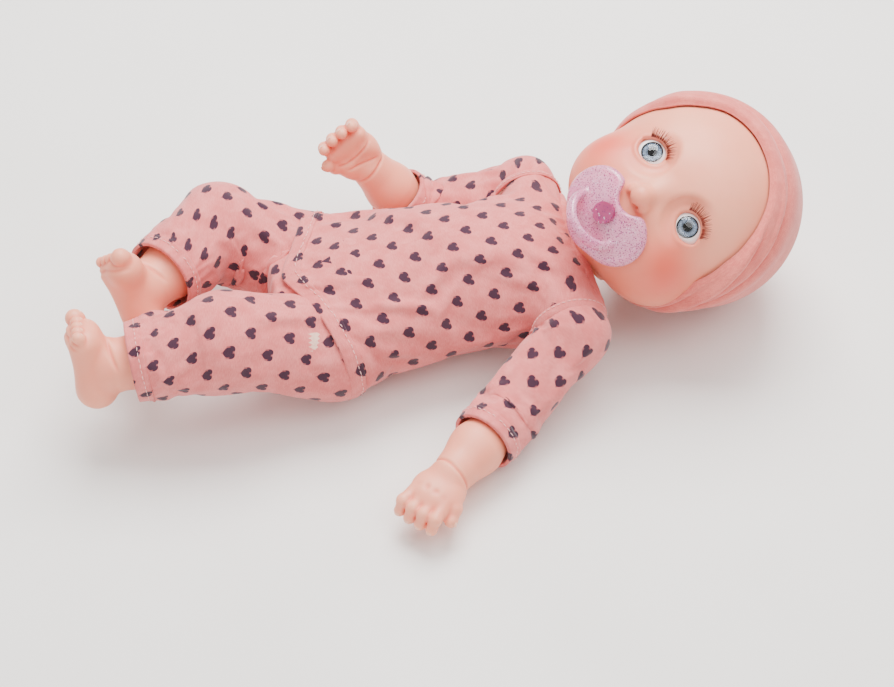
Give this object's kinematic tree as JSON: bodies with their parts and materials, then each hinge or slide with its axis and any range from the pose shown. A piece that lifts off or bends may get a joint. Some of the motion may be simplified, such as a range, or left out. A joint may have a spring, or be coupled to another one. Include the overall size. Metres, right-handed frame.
{
  "type": "interactive baby doll",
  "caption": "Soft-bodied baby doll lying on its back in a heart-print outfit and cap, with a magnetic pacifier, turning head, swinging limbs and a sound box in the belly.",
  "frame": {"origin": "on the resting plane under the middle of the torso, the back_rest mount", "axes": "+Z is the front of the body and points up as the doll lies on its back, +X points to the head, -Y is the left side of the doll"},
  "size_m": [0.3245, 0.1919, 0.0989],
  "materials": {
    "black": "moulded",
    "board": "solder mask",
    "body_cloth": "plain weave",
    "box_plastic": "moulded",
    "button": "moulded",
    "cap_knit": "fine rib knit",
    "cell": "plated",
    "clear": "clear acrylic",
    "cone": "paper",
    "eye_iris": "printed",
    "eye_white": "polished",
    "knit": "fine knit, printed",
    "lash": "fine fibre",
    "magnet": "plated",
    "nylon": "moulded",
    "pacifier": "translucent with glitter",
    "reed": "tube",
    "steel": "plated",
    "stuffing": "loose fibre",
    "teat": "translucent",
    "vinyl": "soft matte vinyl",
    "wire": "insulated"
  },
  "bodies": {
    "torso": {"top_body": "knit", "pants_hips": "knit", "torso_skin": "body_cloth", "torso_stuffing": "stuffing", "back_flap": "body_cloth", "neck_disc": "nylon", "neck_tie": "nylon", "sound_box_front": "box_plastic", "sound_box_back": "box_plastic", "battery_door": "box_plastic", "battery_door_screw": "steel", "box_screws": "steel", "circuit_board": "board", "sound_chip": "black", "capacitor": "black", "tact_switch": "black", "battery_cells": "cell", "battery_contacts": "steel", "speaker_frame": "steel", "speaker_magnet": "magnet", "speaker_cone": "cone", "switch_body": "black", "sensor_lead": "wire"},
    "head": {"head_shell": "vinyl", "eye_cup_right": "nylon", "eyeball_right": "eye_white", "iris_right": "eye_iris", "cornea_right": "clear", "eyelashes_right": "lash", "eye_cup_left": "nylon", "eyeball_left": "eye_white", "iris_left": "eye_iris", "cornea_left": "clear", "eyelashes_left": "lash", "cap_crown": "cap_knit", "cap_band": "cap_knit", "mouth_reed_switch": "reed"},
    "pacifier": {"pacifier_shield": "pacifier", "pacifier_teat": "teat", "pacifier_magnet": "magnet"},
    "push_button": {"tummy_button": "button", "button_spring": "steel"},
    "switch_slider": {"power_switch": "black"},
    "right_upper_arm": {"upper_arm_right": "body_cloth", "sleeve_right": "knit", "arm_tie_right": "nylon"},
    "right_forearm": {"arm_right": "vinyl"},
    "left_upper_arm": {"upper_arm_left": "body_cloth", "sleeve_left": "knit", "arm_tie_left": "nylon"},
    "left_forearm": {"arm_left": "vinyl"},
    "right_thigh": {"thigh_right": "body_cloth", "pant_leg_right": "knit", "leg_tie_right": "nylon"},
    "right_shank": {"leg_right": "vinyl"},
    "left_thigh": {"thigh_left": "body_cloth", "pant_leg_left": "knit", "leg_tie_left": "nylon"},
    "left_shank": {"leg_left": "vinyl"}
  },
  "joints": [
    {"name": "head_turn", "type": "hinge", "parent": "torso", "child": "head", "pos_m": [0.068, 0, 0.036], "axis": [0.8829, 0, 0.4695], "range_deg": [-73, 17]},
    {"name": "pacifier_pull", "type": "slide", "parent": "head", "child": "pacifier", "axis": [-0.5473, -0.4505, 0.7053], "range_m": [0, 0.03]},
    {"name": "tummy_press", "type": "slide", "parent": "torso", "child": "push_button", "axis": [0, 0, -1], "range_m": [0, 0.0012], "stiffness_N_per_m": 400},
    {"name": "power_slide", "type": "slide", "parent": "torso", "child": "switch_slider", "axis": [1, 0, 0], "range_m": [0, 0.003]},
    {"name": "shoulder_right", "type": "hinge", "parent": "torso", "child": "right_upper_arm", "pos_m": [0.05, 0.044, 0.033], "axis": [0, 1, 0], "range_deg": [-10, 75]},
    {"name": "shoulder_left", "type": "hinge", "parent": "torso", "child": "left_upper_arm", "pos_m": [0.05, -0.044, 0.033], "axis": [0, 1, 0], "range_deg": [-10, 75]},
    {"name": "forearm_turn_right", "type": "hinge", "parent": "right_upper_arm", "child": "right_forearm", "pos_m": [0.00148, 0.05666, 0.01624], "axis": [-0.5592, 0.1298, 0.8188], "range_deg": [-60, 60]},
    {"name": "forearm_turn_left", "type": "hinge", "parent": "left_upper_arm", "child": "left_forearm", "pos_m": [0.01249, -0.06931, 0.01466], "axis": [-0.7553, -0.6546, 0.0302], "range_deg": [-60, 60]},
    {"name": "hip_right", "type": "hinge", "parent": "torso", "child": "right_thigh", "pos_m": [-0.053, 0.024, 0.027], "axis": [0, 1, 0], "range_deg": [-8, 50]},
    {"name": "hip_left", "type": "hinge", "parent": "torso", "child": "left_thigh", "pos_m": [-0.053, -0.024, 0.027], "axis": [0, 1, 0], "range_deg": [-8, 50]},
    {"name": "leg_turn_right", "type": "hinge", "parent": "right_thigh", "child": "right_shank", "pos_m": [-0.10323, 0.03082, 0.04214], "axis": [-0.7427, -0.6576, 0.1261], "range_deg": [-10, 40]},
    {"name": "leg_turn_left", "type": "hinge", "parent": "left_thigh", "child": "left_shank", "pos_m": [-0.11498, -0.025, 0.04165], "axis": [-0.9987, 0, -0.05], "range_deg": [-40, 10]}
  ]
}
